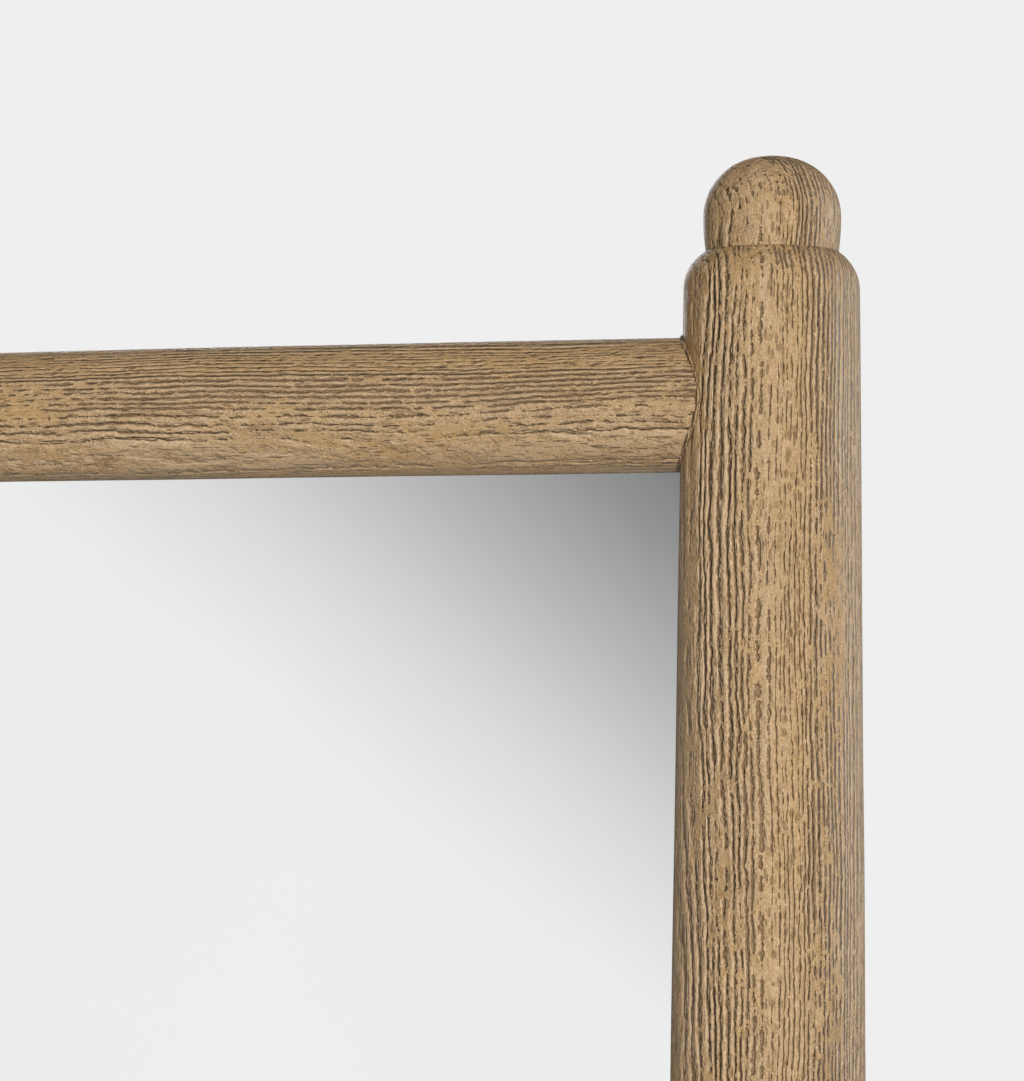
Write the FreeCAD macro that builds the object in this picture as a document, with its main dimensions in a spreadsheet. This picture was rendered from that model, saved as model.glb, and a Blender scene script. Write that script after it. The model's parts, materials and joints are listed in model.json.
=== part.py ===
"""Cheval floor mirror in turned oak: a tall mirror frame that tilts between two uprights on a trestle stand.

Millimetres, +Z up, the mirror faces -Y. The origin is on the floor, under the middle of the mirror.
The frame's two stiles and the stand's uprights are turned with a slight swell and end in domed finials.
The frame hangs on two threaded studs at mid-height, and a ball knob on each stud clamps the tilt.
"""

import FreeCAD, Part
import os
import re

import Sketcher

SIZES = {
    # whole object
    "pivot_height": 1011,  # tilt axis above the floor
    "stile_axis": 270,  # frame stile's axis from the middle
    # frame stiles, measured from the tilt axis
    "stile_half": 745,  # to the seat of the finial
    "stile_mid_radius": 28.3,
    "stile_end_radius": 24,
    "shoulder_radius": 12.15,  # round shoulder below each finial
    "shoulder_drop": 10,
    "seat_radius": 18.75,
    # domed finial
    "dome_radius": 18.75,
    "dome_base_radius": 18.05,
    "dome_equator": 9.8,  # height of the widest place above the base
    "crown_radius": 27,  # flatter arc over the top
    "crown_span": 6.3,
    "spigot_radius": 9,
    "spigot_length": 20,
    "socket_spare": 1,  # depth left under a spigot or tenon
    # frame rails and stretcher
    "rail_radius": 18.4,
    "rail_drop": 39.8,  # rail axis below the finial's seat
    "rail_housing": 12,  # rail's shoulder stops this far from the post's axis
    "tenon_radius": 10,
    "tenon_length": 18,
    # glass, board and beads in the rebate cut from the back
    "glass_setback": 1,  # glass face behind the frame's middle plane
    "stile_lip": 14,  # rebate wall from the stile's axis
    "rail_lip": 7,  # rebate wall from the rail's axis
    "edge_gap": 1,
    "block_thickness": 2,
    "block_length": 60,
    "block_offset": 150,
    "glass_thickness": 4,
    "glass_arris": 0.6,
    "board_thickness": 5,
    "bead_width": 8,
    "bead_thickness": 6,
    "bead_arris": 1.5,
    "bead_screw_radius": 1.5,
    "bead_screw_head_radius": 2.4,
    "bead_screw_head": 1,
    "bead_screw_length": 16,
    "side_screw_pitch": 400,
    "end_screw_pitch": 160,
    # pivots
    "stile_flat": 26,  # spot face from the stile's axis
    "upright_flat": 20,  # spot face from the upright's axis
    "spot_radius": 13,
    "stud_radius": 4,
    "stud_length": 90,
    "stud_grip": 18,  # length held in the stile
    "stud_chamfer": 0.8,
    "running_gap": 0.05,
    "insert_radius": 6,
    "insert_length": 20,
    "collar_radius": 11.5,
    "collar_length": 10,
    "fibre_radius": 11.5,
    "fibre_thickness": 2,
    "bushing_radius": 6,
    "washer_radius": 12,
    "washer_thickness": 2,
    "washer_play": 0.3,
    "knob_radius": 18,
    "knob_collar_radius": 11,
    "knob_bore_depth": 24,
    "knob_insert_radius": 5.5,
    # uprights
    "upright_rise": 96,  # finial seat above the tilt axis
    "upright_end_radius": 24,
    "upright_swell": 2,  # radius gained half-way up
    "upright_tenon_radius": 12,
    "upright_tenon_length": 20,
    "foot_housing": 16,  # upright's shoulder above the foot's axis
    "housing_gap": 0.25,
    # stretcher between the uprights
    "stretcher_height": 165,
    "bolt_head_depth": 14,  # seat of the bolt head from the upright's axis
    "bolt_radius": 3,
    "bolt_clearance": 0.1,
    "bolt_head_radius": 5,
    "bolt_head_height": 5,
    "bolt_length": 78,
    "counterbore_radius": 6.5,
    "hex_socket": 0.8,  # half of the socket's width across flats, as a share of the shank's radius
    "barrel_radius": 5,
    "barrel_length": 15,
    "barrel_inset": 45,  # from the stretcher's shoulder
    "barrel_depth": 8,  # end of the cross bore past the stretcher's axis
    # feet
    "foot_axis_height": 46,
    "foot_mid_radius": 29,
    "foot_end_radius": 19,
    "foot_half": 225,
    "foot_dome_scale": 0.8,
    "pad_offset": 185,
    "pad_flat": 15,
    "bun_floor_radius": 11,
    "bun_top_radius": 13,
    "bun_bulge_radius": 30,
    "bun_spigot_radius": 5,
    "bun_spigot_length": 12,
    "bun_bore_radius": 15.6,
    "felt_radius": 10,
    "felt_thickness": 2,
    "hex_socket_depth": 0.6,  # share of a bolt head's height
    "foot_bolt_radius": 4,
    "foot_bolt_head_radius": 6.5,
    "foot_bolt_head_height": 8,
    "foot_bolt_length": 30,
    "foot_bolt_seat": 16,  # seat of the washer below the foot's axis
    "foot_bolt_bore": 9.5,
    "foot_washer_radius": 8.5,
    "foot_washer_thickness": 1.6,
}

# Sizes that follow from the driving ones, as spreadsheet expressions.
CROWN_COSINE = "sqrt(1 - (crown_span / crown_radius)^2)"
CORNER = "((dome_radius - crown_span) / (1 - crown_span / crown_radius))"
CROWN_RISE = f"({CORNER} * {CROWN_COSINE})"
TIP_RISE = f"({CROWN_RISE} + crown_radius * (1 - {CROWN_COSINE}))"
UPRIGHT_AXIS = "(stile_axis + stile_flat + collar_length + fibre_thickness + upright_flat)"
KNOB_SEAT = f"({UPRIGHT_AXIS} + upright_flat + washer_thickness)"
RAIL_OFFSET = "(stile_half - rail_drop)"
WASHER_BORE = "stud_radius + washer_play"
UPRIGHT_LENGTH = "(pivot_height + upright_rise - foot_axis_height - foot_housing)"
UPRIGHT_BASE = "(foot_axis_height + foot_housing - upright_tenon_length)"
GLASS_HALF_WIDTH = "(stile_axis - stile_lip - edge_gap)"
REBATE_HALF_HEIGHT = f"({RAIL_OFFSET} - rail_lip)"
BOARD_BACK = "(glass_setback + glass_thickness + board_thickness)"
SIDE_BEAD_X = "(stile_axis - stile_lip - bead_width)"
END_BEAD_HEIGHT = f"({REBATE_HALF_HEIGHT} - bead_width)"

SWELL_SPANS = 3  # arcs in each half of a long swell

# A hexagon's corners, for a width across flats of 2.
HEXAGON = [(1, 0.57735), (0, 1.1547), (-1, 0.57735), (-1, -0.57735), (0, -1.1547), (1, -0.57735)]

DOC = FreeCAD.newDocument("ChevalMirror")
SHEET = DOC.addObject("Spreadsheet::Sheet", "Sizes")
PROBE = DOC.addObject("App::FeaturePython", "Probe")
NODES = []
UP, ALONG_Y = FreeCAD.Vector(0, 0, 1), FreeCAD.Vector(0, 1, 0)


def fill_sheet():
    """One row for each size: its name, then its value in a cell that has that name as its alias."""
    for row, (name, size) in enumerate(SIZES.items(), start=1):
        SHEET.set(f"A{row}", name)
        SHEET.set(f"B{row}", str(size))
        SHEET.setAlias(f"B{row}", name)
    PROBE.addProperty("App::PropertyFloat", "Number")
    DOC.recompute()


def bind(expression):
    """The expression with each size's name pointing at its cell."""
    return re.sub(r"[a-z_]{5,}", lambda m: "Sizes." * (m.group() in SIZES) + m.group(), expression)


def number(expression):
    """The present value of an expression over the sheet."""
    PROBE.setExpression("Number", bind(expression))
    PROBE.recompute()
    return PROBE.Number


# ---------------------------------------------------------------- building blocks


def new_body(label):
    body = DOC.addObject("PartDesign::Body", label)
    body.Label = label
    NODES.append(body)
    return body


def plane(body, role):
    return next(f for f in body.Origin.OriginFeatures if f.Role == role)


def sketch_on(body, role, offset="0"):
    """A sketch on one of the body's origin planes, moved along the plane's normal."""
    sketch = body.newObject("Sketcher::SketchObject", body.Label + "_sketch")
    sketch.AttachmentSupport = (plane(body, role), [""])
    sketch.MapMode = "FlatFace"
    if offset != "0":
        sketch.setExpression("AttachmentOffset.Base.z", bind(offset))
    return sketch


def pin_down(sketch, edge, end, x, y):
    """Holds one end of an edge at (x, y), each an expression."""
    for kind, axis, text in (("DistanceX", -2, x), ("DistanceY", -1, y)):
        if text == "0":
            sketch.addConstraint(Sketcher.Constraint("PointOnObject", edge, end, axis))
        else:
            index = sketch.addConstraint(Sketcher.Constraint(kind, edge, end, number(text)))
            sketch.setExpression(f"Constraints[{index}]", bind(text))


def arc_between(a, b, radius):
    """The short arc that turns left on its way from a to b, with that radius."""
    chord = b - a
    left = FreeCAD.Vector(-chord.y, chord.x, 0).normalize()
    centre = (a + b) * 0.5 + left * (radius**2 - chord.Length**2 / 4) ** 0.5
    middle = centre - left * radius
    return Part.Arc(a, middle, b)


def outline(sketch, path):
    """A closed outline. Each step is (x, y) or (x, y, radius), all expressions.

    A radius makes the edge that leaves that point an arc turning left.
    """
    points = [FreeCAD.Vector(number(step[0]), number(step[1]), 0) for step in path]
    for i, step in enumerate(path):
        a, b = points[i], points[(i + 1) % len(path)]
        if len(step) == 3:
            sketch.addGeometry(arc_between(a, b, number(step[2])))
        else:
            sketch.addGeometry(Part.LineSegment(a, b))
    for i, step in enumerate(path):
        sketch.addConstraint(Sketcher.Constraint("Coincident", i - 1 if i else len(path) - 1, 2, i, 1))
        pin_down(sketch, i, 1, step[0], step[1])
        if len(step) == 3:
            index = sketch.addConstraint(Sketcher.Constraint("Radius", i, number(step[2])))
            sketch.setExpression(f"Constraints[{index}]", bind(step[2]))


def ring(sketch, radius, x="0", y="0"):
    """A circle, its centre and radius bound to the sheet."""
    at = FreeCAD.Vector(number(x), number(y), 0)
    edge = sketch.addGeometry(Part.Circle(at, UP, number(radius)))
    if x == "0" and y == "0":
        sketch.addConstraint(Sketcher.Constraint("Coincident", edge, 3, -1, 1))
    else:
        pin_down(sketch, edge, 3, x, y)
    index = sketch.addConstraint(Sketcher.Constraint("Radius", edge, number(radius)))
    sketch.setExpression(f"Constraints[{index}]", bind(radius))


def turn(body, path):
    """Turns the outline, drawn as (radius, height), about the body's Z axis."""
    sketch = sketch_on(body, "XZ_Plane")
    outline(sketch, path)
    lathe = body.newObject("PartDesign::Revolution", body.Label + "_turning")
    lathe.Profile = sketch
    lathe.ReferenceAxis = (sketch, ["V_Axis"])
    lathe.Angle = 360
    DOC.recompute()
    return lathe


def pad(body, sketch, length, midplane=False, backwards=False):
    block = body.newObject("PartDesign::Pad", body.Label + "_pad")
    block.Profile = sketch
    block.Midplane = midplane
    block.Reversed = backwards
    block.setExpression("Length", bind(length))
    DOC.recompute()
    return block


def cut(body, sketch, length, forwards=False, midplane=False):
    """A pocket, against the sketch plane's normal or, if forwards, along it. It has to remove something."""
    before = body.Shape.Volume
    pocket = body.newObject("PartDesign::Pocket", body.Label + "_pocket")
    pocket.Profile = sketch
    pocket.Reversed = forwards
    pocket.Midplane = midplane
    pocket.setExpression("Length", bind(length))
    DOC.recompute()
    if not body.Shape.Volume < before:
        raise RuntimeError(f"a pocket in {body.Label} removes nothing")
    return pocket


def bore(body, role, floor, radius, length, x="0", y="0", forwards=False):
    """A round pocket whose floor lies at an offset from an origin plane."""
    sketch = sketch_on(body, role, floor)
    ring(sketch, radius, x, y)
    return cut(body, sketch, length, forwards)


def mirror_halves(body, features, role="XY_Plane"):
    """The features again on the other side of an origin plane."""
    twin = body.newObject("PartDesign::Mirrored", body.Label + "_mirrored")
    twin.Originals = features
    twin.MirrorPlane = (plane(body, role), [""])
    body.Tip = twin
    DOC.recompute()
    return twin


def ease_broad_faces(body, panel, size):
    """Chamfers the edges round the front and back faces of a flat panel."""
    bevel = body.newObject("PartDesign::Chamfer", body.Label + "_arris")
    faces = enumerate(panel.Shape.Faces, start=1)
    bevel.Base = (panel, [f"Face{i}" for i, face in faces if abs(face.normalAt(0, 0).y) > 0.9])
    bevel.setExpression("Size", bind(size))
    DOC.recompute()


def place(thing, x="0", y="0", z="0", about=UP, degrees=0):
    """Puts a sub-part where it belongs, its position bound to the sheet."""
    thing.Placement = FreeCAD.Placement(FreeCAD.Vector(), FreeCAD.Rotation(about, degrees))
    for name, text in (("x", x), ("y", y), ("z", z)):
        thing.setExpression(f"Placement.Base.{name}", bind(text))


def rod(label, radius, length, x="0", y="0", z="0", about=UP, degrees=0):
    """A plain cylinder for a group of fasteners or pads."""
    cylinder = DOC.addObject("Part::Cylinder", label)
    cylinder.setExpression("Radius", bind(radius))
    cylinder.setExpression("Height", bind(length))
    place(cylinder, x, y, z, about, degrees)
    return cylinder


def group(label, members):
    """Several separate solids as one node."""
    node = DOC.addObject("Part::Compound", label)
    node.Label = label
    node.Links = members
    NODES.append(node)
    return node


# ---------------------------------------------------------------- shapes that repeat


def swell(half_chord, rise):
    """Radius of the arc with that half chord and rise."""
    return f"(({half_chord})^2 + ({rise})^2) / (2 * ({rise}))"


def swell_from(middle, end, height):
    """A swelling profile from its widest place, radius middle at 0, towards radius end at that height.

    It is drawn in equal spans of one arc, because a single arc this long and flat meshes badly.
    """
    arc = swell(height, f"{middle} - {end}")
    path = [(middle, "0", arc)]
    for span in range(1, SWELL_SPANS):
        reached = f"({height}) * {span} / {SWELL_SPANS}"
        path.append((f"{middle} - {arc} + sqrt(({arc})^2 - ({reached})^2)", reached, arc))
    return path


def dome_from(equator, scale="1"):
    """The upper part of a dome from its widest place: a tight arc, then a flatter crown."""
    return [
        (f"dome_radius * {scale}", equator, f"{CORNER} * {scale}"),
        (f"crown_span * {scale}", f"{equator} + {CROWN_RISE} * {scale}", f"crown_radius * {scale}"),
        ("0", f"{equator} + {TIP_RISE} * {scale}"),
    ]


def whole_dome(base, scale="1"):
    """A dome that pulls in a little where it meets the shoulder under it."""
    side = swell("dome_equator", "dome_radius - dome_base_radius") + f" * {scale}"
    equator = f"{base} + dome_equator * {scale}"
    return [(f"dome_base_radius * {scale}", base, side), *dome_from(equator, scale)]


def finial(label, x, z, upside_down=False):
    """Domed finial with a spigot that glues into the end of a post."""
    body = new_body(label)
    spigot = [("0", "0"), ("spigot_radius", "0"), ("spigot_radius", "spigot_length")]
    turn(body, spigot + whole_dome("spigot_length"))
    if upside_down:
        place(body, x, "0", f"{z} + spigot_length", ALONG_Y, 180)
    else:
        place(body, x, "0", f"{z} - spigot_length")


def tube(label, outer, inner, length, x, z, degrees=0):
    """A sleeve, insert or washer. It stands upright unless turned about Y."""
    body = new_body(label)
    turn(body, [(inner, "0"), (outer, "0"), (outer, length), (inner, length)])
    place(body, x, "0", z, ALONG_Y, degrees)


def panel(label, front, thickness, arris=""):
    """Flat upright sheet in the rebate, centred on X, standing on the setting blocks."""
    body = new_body(label)
    low = f"pivot_height - {REBATE_HALF_HEIGHT} + block_thickness"
    high = f"pivot_height + {REBATE_HALF_HEIGHT} - edge_gap"
    right, left = GLASS_HALF_WIDTH, f"0 - {GLASS_HALF_WIDTH}"
    sketch = sketch_on(body, "XZ_Plane")
    outline(sketch, [(left, low), (right, low), (right, high), (left, high)])
    sheet = pad(body, sketch, thickness, backwards=True)
    if arris:
        ease_broad_faces(body, sheet, arris)
    place(body, "0", front)


# ---------------------------------------------------------------- mirror frame


def stile(label, x, degrees):
    """Turned side post of the frame, the same at both ends. Its inner side is local -X."""
    body = new_body(label)
    wall = "stile_half - shoulder_drop"
    turning = turn(
        body,
        [
            ("0", "0"),
            *swell_from("stile_mid_radius", "stile_end_radius", wall),
            ("stile_end_radius", wall, "shoulder_radius"),
            ("seat_radius", "stile_half"),
            ("0", "stile_half"),
        ],
    )
    socket = bore(body, "XY_Plane", "stile_half", "spigot_radius", "spigot_length + socket_spare")
    housing = bore(body, "YZ_Plane", "0 - rail_housing", "rail_radius", "stile_mid_radius", "0", RAIL_OFFSET)
    mortise = bore(
        body,
        "YZ_Plane",
        "tenon_length - rail_housing + socket_spare",
        "tenon_radius",
        "tenon_length + socket_spare",
        "0",
        RAIL_OFFSET,
    )
    mirror_halves(body, [turning, socket, housing, mortise])
    rebate = sketch_on(body, "XY_Plane")
    outline(
        rebate,
        [
            ("0 - 2 * stile_mid_radius", "glass_setback"),
            ("0 - stile_lip", "glass_setback"),
            ("0 - stile_lip", "2 * stile_mid_radius"),
            ("0 - 2 * stile_mid_radius", "2 * stile_mid_radius"),
        ],
    )
    cut(body, rebate, f"2 * {REBATE_HALF_HEIGHT}", midplane=True)
    bore(body, "YZ_Plane", "stile_flat", "spot_radius", "stile_mid_radius", forwards=True)
    bore(body, "YZ_Plane", "stile_flat", "insert_radius", "insert_length + socket_spare")
    place(body, x, "0", "pivot_height", ALONG_Y, degrees)


def rail(label, z, degrees):
    """Round rail between the stiles. Its rebate opens to local +X, towards the glass."""
    body = new_body(label)
    shoulder = "stile_axis - rail_housing"
    turning = turn(
        body,
        [
            ("0", "0"),
            ("rail_radius", "0"),
            ("rail_radius", shoulder),
            ("tenon_radius", shoulder),
            ("tenon_radius", f"{shoulder} + tenon_length"),
            ("0", f"{shoulder} + tenon_length"),
        ],
    )
    rebate = sketch_on(body, "XY_Plane")
    outline(
        rebate,
        [
            ("rail_lip", "glass_setback"),
            ("2 * rail_radius", "glass_setback"),
            ("2 * rail_radius", "2 * rail_radius"),
            ("rail_lip", "2 * rail_radius"),
        ],
    )
    groove = cut(body, rebate, "stile_axis - stile_lip", forwards=True)
    mirror_halves(body, [turning, groove])
    place(body, "0", "0", z, ALONG_Y, degrees)


def glazing_bead(label, length, x, z, degrees):
    """Strip that holds the board and glass in. Local Z runs along it and local -X faces the opening."""
    body = new_body(label)
    sketch = sketch_on(body, "XY_Plane")
    outline(
        sketch,
        [
            ("0", "0"),
            ("bead_width", "0"),
            ("bead_width", "bead_thickness"),
            ("bead_arris", "bead_thickness"),
            ("0", "bead_thickness - bead_arris"),
        ],
    )
    pad(body, sketch, length, midplane=True)
    place(body, x, BOARD_BACK, z, ALONG_Y, degrees)


def bead_screw(tag, x, z, degrees):
    """Pan-head screw through a bead into the wood behind it, pointing along the rotated Z axis."""
    shank = rod(f"screw_shank_{tag}", "bead_screw_radius", "bead_screw_length")
    head = rod(f"screw_head_{tag}", "bead_screw_head_radius", "bead_screw_head", z="0 - bead_screw_head")
    screw = DOC.addObject("Part::Fuse", f"screw_{tag}")
    screw.Base = shank
    screw.Tool = head
    place(screw, x, f"{BOARD_BACK} + bead_thickness / 2", z, ALONG_Y, degrees)
    return screw


def bead_screws():
    """Four screws up each side bead and three along each end bead."""
    screws = []
    for i in range(4):
        z = f"pivot_height + side_screw_pitch * {i - 1.5}"
        screws.append(bead_screw(f"right_{i}", SIDE_BEAD_X, z, 90))
        screws.append(bead_screw(f"left_{i}", f"0 - {SIDE_BEAD_X}", z, -90))
    for i in range(3):
        x = f"end_screw_pitch * {i - 1}"
        screws.append(bead_screw(f"top_{i}", x, f"pivot_height + {END_BEAD_HEIGHT}", 0))
        screws.append(bead_screw(f"bottom_{i}", x, f"pivot_height - {END_BEAD_HEIGHT}", 180))
    group("glazing_bead_screws", screws)


def setting_blocks():
    """Two rubber blocks that carry the glass on the bottom rail."""
    blocks = []
    for tag, side in (("left", "0 - block_offset"), ("right", "block_offset")):
        block = DOC.addObject("Part::Box", f"setting_block_{tag}")
        block.setExpression("Length", bind("block_length"))
        block.setExpression("Width", bind("glass_thickness"))
        block.setExpression("Height", bind("block_thickness"))
        place(block, f"{side} - block_length / 2", "glass_setback", f"pivot_height - {REBATE_HALF_HEIGHT}")
        blocks.append(block)
    group("glass_setting_blocks", blocks)


def build_frame():
    stile("stile_right", "stile_axis", 0)
    stile("stile_left", "0 - stile_axis", 180)
    rail("rail_top", f"pivot_height + {RAIL_OFFSET}", 90)
    rail("rail_bottom", f"pivot_height - {RAIL_OFFSET}", -90)
    for side, x in (("left", "0 - stile_axis"), ("right", "stile_axis")):
        finial(f"finial_top_{side}", x, "pivot_height + stile_half")
        finial(f"finial_bottom_{side}", x, "pivot_height - stile_half", upside_down=True)
    panel("mirror_glass", "glass_setback", "glass_thickness", "glass_arris")
    panel("backing_board", "glass_setback + glass_thickness", "board_thickness")
    side_length, side_x = f"2 * {END_BEAD_HEIGHT}", SIDE_BEAD_X
    glazing_bead("glazing_bead_right", side_length, side_x, "pivot_height", 0)
    glazing_bead("glazing_bead_left", side_length, f"0 - {side_x}", "pivot_height", 180)
    end_length = "2 * (stile_axis - stile_lip)"
    glazing_bead("glazing_bead_top", end_length, "0", f"pivot_height + {END_BEAD_HEIGHT}", -90)
    glazing_bead("glazing_bead_bottom", end_length, "0", f"pivot_height - {END_BEAD_HEIGHT}", 90)
    bead_screws()
    setting_blocks()


# ---------------------------------------------------------------- pivots and knobs


def stud(label, x, degrees):
    body = new_body(label)
    turn(
        body,
        [
            ("0", "0"),
            ("stud_radius - stud_chamfer", "0"),
            ("stud_radius", "stud_chamfer"),
            ("stud_radius", "stud_length - stud_chamfer"),
            ("stud_radius - stud_chamfer", "stud_length"),
            ("0", "stud_length"),
        ],
    )
    place(body, x, "0", "pivot_height", ALONG_Y, degrees)


def knob(label, x, degrees):
    """Ball knob with a short collar and the finials' flattened crown."""
    body = new_body(label)
    scale = "(knob_radius / dome_radius)"
    collar = "(knob_radius - sqrt(knob_radius^2 - knob_collar_radius^2))"
    turn(
        body,
        [
            ("0", "0"),
            ("knob_collar_radius", "0"),
            ("knob_collar_radius", collar, "knob_radius"),
            *dome_from("knob_radius", scale),
        ],
    )
    bore(body, "XY_Plane", "0", "knob_insert_radius", "knob_bore_depth", forwards=True)
    place(body, x, "0", "pivot_height", ALONG_Y, degrees)


def build_pivots():
    """Each side's stack from the stile outwards, given by its start from the middle of the mirror."""
    stile_face, running = "(stile_axis + stile_flat)", "stud_radius + running_gap"
    sleeves = [
        ("pivot_insert", "insert_radius", "stud_radius", "insert_length", f"{stile_face} - insert_length"),
        ("spacer_collar", "collar_radius", "stud_radius", "collar_length", stile_face),
        ("fibre_washer", "fibre_radius", running, "fibre_thickness", f"{stile_face} + collar_length"),
        ("pivot_bushing", "bushing_radius", running, "2 * upright_flat", f"{UPRIGHT_AXIS} - upright_flat"),
        ("clamp_washer", "washer_radius", WASHER_BORE, "washer_thickness", f"{UPRIGHT_AXIS} + upright_flat"),
        ("knob_insert", "knob_insert_radius", running, "insert_length", KNOB_SEAT),
    ]
    for side, sign, degrees in (("left", "0 - ", -90), ("right", "", 90)):
        for name, outer, inner, length, start in sleeves:
            tube(f"{name}_{side}", outer, inner, length, f"{sign}({start})", "pivot_height", degrees)
        stud(f"pivot_stud_{side}", f"{sign}({stile_face} - stud_grip)", degrees)
        knob(f"knob_{side}", sign + KNOB_SEAT, degrees)


# ---------------------------------------------------------------- stand


def upright(label, x, degrees):
    """Turned upright. Local Z starts at the tenon's end, and the inner side is local -X."""
    body = new_body(label)
    foot_end = "upright_tenon_length"
    top = f"{foot_end} + {UPRIGHT_LENGTH}"
    wall = f"({UPRIGHT_LENGTH} - shoulder_drop)"
    pivot = f"pivot_height - {UPRIGHT_BASE}"
    joint = f"stretcher_height - {UPRIGHT_BASE}"
    turn(
        body,
        [
            ("0", "0"),
            ("upright_tenon_radius", "0"),
            ("upright_tenon_radius", foot_end),
            ("upright_end_radius", foot_end, swell(f"{wall} / 2", "upright_swell")),
            ("upright_end_radius", f"{foot_end} + {wall}", "shoulder_radius"),
            ("seat_radius", top),
            ("0", top),
        ],
    )
    bore(body, "XY_Plane", top, "spigot_radius", "spigot_length + socket_spare")
    bore(body, "XY_Plane", "0", "insert_radius", "insert_length + socket_spare", forwards=True)
    wide, bolt_way = "2 * upright_end_radius", "bolt_radius + bolt_clearance"
    bore(body, "YZ_Plane", "upright_flat", "spot_radius", wide, "0", pivot, forwards=True)
    bore(body, "YZ_Plane", "0 - upright_flat", "spot_radius", wide, "0", pivot)
    bore(body, "YZ_Plane", "upright_flat", "bushing_radius", "2 * upright_flat", "0", pivot)
    bore(body, "YZ_Plane", "0 - rail_housing", "rail_radius", wide, "0", joint)
    bore(body, "YZ_Plane", "tenon_length - rail_housing", "tenon_radius", "tenon_length", "0", joint)
    bore(body, "YZ_Plane", "bolt_head_depth", bolt_way, "bolt_head_depth", "0", joint)
    bore(body, "YZ_Plane", "bolt_head_depth", "counterbore_radius", wide, "0", joint, forwards=True)
    place(body, x, "0", UPRIGHT_BASE, UP, degrees)


def stretcher():
    """Round stretcher with a tenon at each end, bored for the bolts and their barrel nuts."""
    body = new_body("stretcher")
    shoulder = f"({UPRIGHT_AXIS} - rail_housing)"
    turning = turn(
        body,
        [
            ("0", "0"),
            ("rail_radius", "0"),
            ("rail_radius", shoulder),
            ("tenon_radius", shoulder),
            ("tenon_radius", f"{shoulder} + tenon_length"),
            ("0", f"{shoulder} + tenon_length"),
        ],
    )
    end = f"{shoulder} + tenon_length"
    bolt_way = bore(body, "XY_Plane", end, "bolt_radius + bolt_clearance", "bolt_length")
    nut_way = bore(
        body,
        "YZ_Plane",
        "0 - barrel_depth",
        "barrel_radius",
        "2 * rail_radius",
        "0",
        f"{shoulder} - barrel_inset",
        forwards=True,
    )
    mirror_halves(body, [turning, bolt_way, nut_way])
    place(body, "0", "0", "stretcher_height", ALONG_Y, 90)


def socket_bolt(label, kind, x, z, degrees):
    """Socket-head bolt of one kind. Local Z runs from the seat along the shank."""
    body = new_body(label)
    shank, head, height = f"{kind}_radius", f"{kind}_head_radius", f"{kind}_head_height"
    base, end = f"0 - {height}", f"{kind}_length"
    turn(body, [("0", base), (head, base), (head, "0"), (shank, "0"), (shank, end), ("0", end)])
    sketch = sketch_on(body, "XY_Plane", base)
    across = f"hex_socket * {shank}"
    outline(sketch, [(f"{across} * {a}" if a else "0", f"{across} * {b}") for a, b in HEXAGON])
    cut(body, sketch, f"{height} * hex_socket_depth", forwards=True)
    place(body, x, "0", z, ALONG_Y, degrees)


def barrel_nut(label, x):
    """Cross dowel in the stretcher, with a hole for the bolt."""
    body = new_body(label)
    side, top = "barrel_radius", "barrel_length"
    turn(body, [("0", "0"), (side, "0"), (side, top), ("0", top)])
    sketch = sketch_on(body, "YZ_Plane")
    ring(sketch, "bolt_radius", "0", "barrel_length - barrel_depth")
    cut(body, sketch, "4 * barrel_radius", midplane=True)
    place(body, x, "0", "stretcher_height - barrel_length + barrel_depth")


def foot(label, x):
    """Turned foot along Y, swelling at the middle, domed at both ends. Local Z is +Y and local -Y is up."""
    body = new_body(label)
    wall = "foot_half - shoulder_drop * foot_dome_scale"
    turning = turn(
        body,
        [
            ("0", "0"),
            *swell_from("foot_mid_radius", "foot_end_radius", wall),
            ("foot_end_radius", wall, "shoulder_radius * foot_dome_scale"),
            *whole_dome("foot_half", "foot_dome_scale"),
        ],
    )
    flat = bore(body, "XZ_Plane", "0 - pad_flat", "bun_bore_radius", "foot_mid_radius", "0", "pad_offset")
    peg = bore(
        body,
        "XZ_Plane",
        "0 - pad_flat",
        "bun_spigot_radius",
        "bun_spigot_length + socket_spare",
        "0",
        "pad_offset",
        forwards=True,
    )
    mirror_halves(body, [turning, flat, peg])
    wide, depth = "2 * foot_mid_radius", "upright_tenon_length + socket_spare"
    tenon_floor = f"foot_housing - ({depth})"
    bore(body, "XZ_Plane", "foot_housing", "upright_end_radius + housing_gap", wide, forwards=True)
    bore(body, "XZ_Plane", tenon_floor, "upright_tenon_radius", depth, forwards=True)
    bore(body, "XZ_Plane", tenon_floor, "foot_bolt_radius + bolt_clearance", "foot_bolt_seat")
    bore(body, "XZ_Plane", "0 - foot_bolt_seat", "foot_bolt_bore", wide)
    place(body, x, "0", "foot_axis_height", FreeCAD.Vector(1, 0, 0), -90)


def bun_foot(label, x, y):
    """Small turned bun under the foot, with a spigot glued into it."""
    body = new_body(label)
    height = "(foot_axis_height - pad_flat - felt_thickness)"
    turn(
        body,
        [
            ("0", "0"),
            ("bun_floor_radius", "0", "bun_bulge_radius"),
            ("bun_top_radius", height),
            ("bun_spigot_radius", height),
            ("bun_spigot_radius", f"{height} + bun_spigot_length"),
            ("0", f"{height} + bun_spigot_length"),
        ],
    )
    place(body, x, y, "felt_thickness")


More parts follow.
